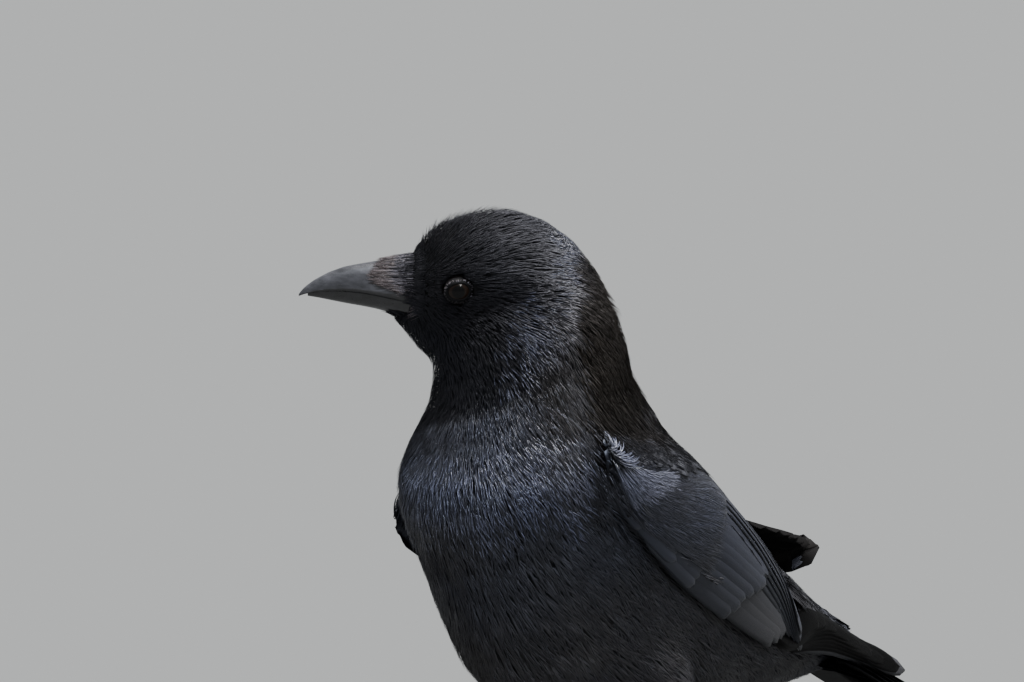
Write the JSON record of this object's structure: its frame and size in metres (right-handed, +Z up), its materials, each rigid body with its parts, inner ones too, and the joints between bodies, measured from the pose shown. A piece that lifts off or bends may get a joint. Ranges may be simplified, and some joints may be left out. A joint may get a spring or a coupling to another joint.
{
  "type": "carrion crow",
  "caption": "Life-size black crow standing on both feet with its wings folded and its head turned to its right, as a still museum model.",
  "frame": {"origin": "middle of the bird's bounding box, on the floor under the soles", "axes": "+Z up, the bird's body faces -Y with its tail to +Y, and its left side is +X; the head is turned to -X"},
  "size_m": [0.1344, 0.3596, 0.2944],
  "materials": {
    "plumage_soft": "soft black body feathers with a faint blue and violet gloss",
    "plumage_gloss": "smooth black wing and tail feathers with a blue slate gloss",
    "bill_horn": "satin slate-black horn",
    "claw_horn": "satin black horn",
    "leg_scale": "matt black scales",
    "eye": "clear wet gloss over a dark brown iris"
  },
  "bodies": {
    "root": {"bill_lower": "bill_horn", "bill_upper": "bill_horn", "claw_left_hallux": "claw_horn", "claw_left_inner": "claw_horn", "claw_left_middle": "claw_horn", "claw_left_outer": "claw_horn", "claw_right_hallux": "claw_horn", "claw_right_inner": "claw_horn", "claw_right_middle": "claw_horn", "claw_right_outer": "claw_horn", "eye_left": "eye", "eye_right": "eye", "head": "plumage_soft", "neck": "plumage_soft", "rump": "plumage_soft", "tail": "plumage_gloss", "tarsus_left": "leg_scale", "tarsus_right": "leg_scale", "thigh_left": "plumage_soft", "thigh_right": "plumage_soft", "toe_left_hallux": "leg_scale", "toe_left_inner": "leg_scale", "toe_left_middle": "leg_scale", "toe_left_outer": "leg_scale", "toe_right_hallux": "leg_scale", "toe_right_inner": "leg_scale", "toe_right_middle": "leg_scale", "toe_right_outer": "leg_scale", "trunk": "plumage_soft", "wing_left_coverts": "plumage_gloss", "wing_left_primaries": "plumage_gloss", "wing_left_secondaries": "plumage_gloss", "wing_right_coverts": "plumage_gloss", "wing_right_primaries": "plumage_gloss", "wing_right_secondaries": "plumage_gloss"}
  },
  "joints": []
}
